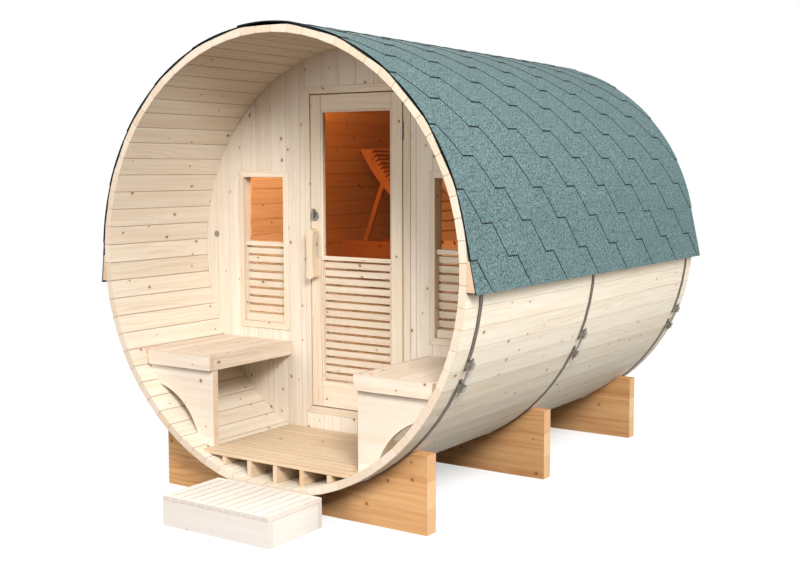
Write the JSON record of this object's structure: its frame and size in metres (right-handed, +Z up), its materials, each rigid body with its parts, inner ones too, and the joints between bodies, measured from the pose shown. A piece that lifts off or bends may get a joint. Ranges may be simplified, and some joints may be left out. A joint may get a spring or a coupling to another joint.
{
  "type": "barrel sauna",
  "caption": "Wooden barrel sauna on cradles, with a recessed porch, benches, a glazed door, windows, a shingle roof over its upper half and a slatted step in front.",
  "frame": {"origin": "centre of the middle cradle's underside, on level ground", "axes": "+X to the right seen from the porch, +Y along the barrel from porch to rear, +Z up"},
  "size_m": [2.1711, 2.862, 2.2043],
  "materials": {
    "pine": "planed, clear oiled",
    "cradle_wood": "planed, impregnated",
    "step_wood": "planed, weathered",
    "shingle": "bitumen with mineral granules",
    "steel_band": "dark paint, matt",
    "steel": "satin",
    "glass": "bronze tinted",
    "vent_plastic": "matt"
  },
  "bodies": {
    "house": {"barrel_bottom": "pine", "barrel_lower_left": "pine", "barrel_lower_right": "pine", "barrel_top": "pine", "barrel_upper_left": "pine", "barrel_upper_right": "pine", "bench_cleats": "pine", "door_head": "pine", "door_hinge_pins": "steel", "door_jambs": "pine", "door_threshold": "pine", "eave_battens": "pine", "floor_joists": "pine", "front_cradle": "cradle_wood", "front_hoop": "steel_band", "hoop_tensioners": "steel", "left_bench_fascia": "pine", "left_bench_panel": "pine", "left_bench_seat": "pine", "lounger_back_planks": "pine", "lounger_props": "pine", "lounger_rails": "pine", "lounger_slats": "pine", "middle_cradle": "cradle_wood", "middle_hoop": "steel_band", "porch_floor": "pine", "rear_cradle": "cradle_wood", "rear_hoop": "steel_band", "rear_wall": "pine", "right_bench_fascia": "pine", "right_bench_panel": "pine", "right_bench_seat": "pine", "roof_left": "shingle", "roof_right": "shingle", "room_floor": "pine", "step_box": "step_wood", "step_slats": "step_wood", "wall_left": "pine", "wall_over_door": "pine", "wall_right": "pine", "wall_under_door": "pine", "wall_vent": "vent_plastic", "window_frames": "pine", "window_glass": "glass", "window_louvres": "pine"},
    "door": {"door_leaf": "pine", "door_glass": "glass", "door_louvres": "pine", "door_handle": "pine", "door_lock": "steel", "door_hinge_wings": "steel"}
  },
  "joints": [
    {"name": "door_swing", "type": "hinge", "parent": "house", "child": "door", "pos_m": [0.2825, -0.578, 1.146], "axis": [0, 0, 1], "range_deg": [0, 95]}
  ]
}
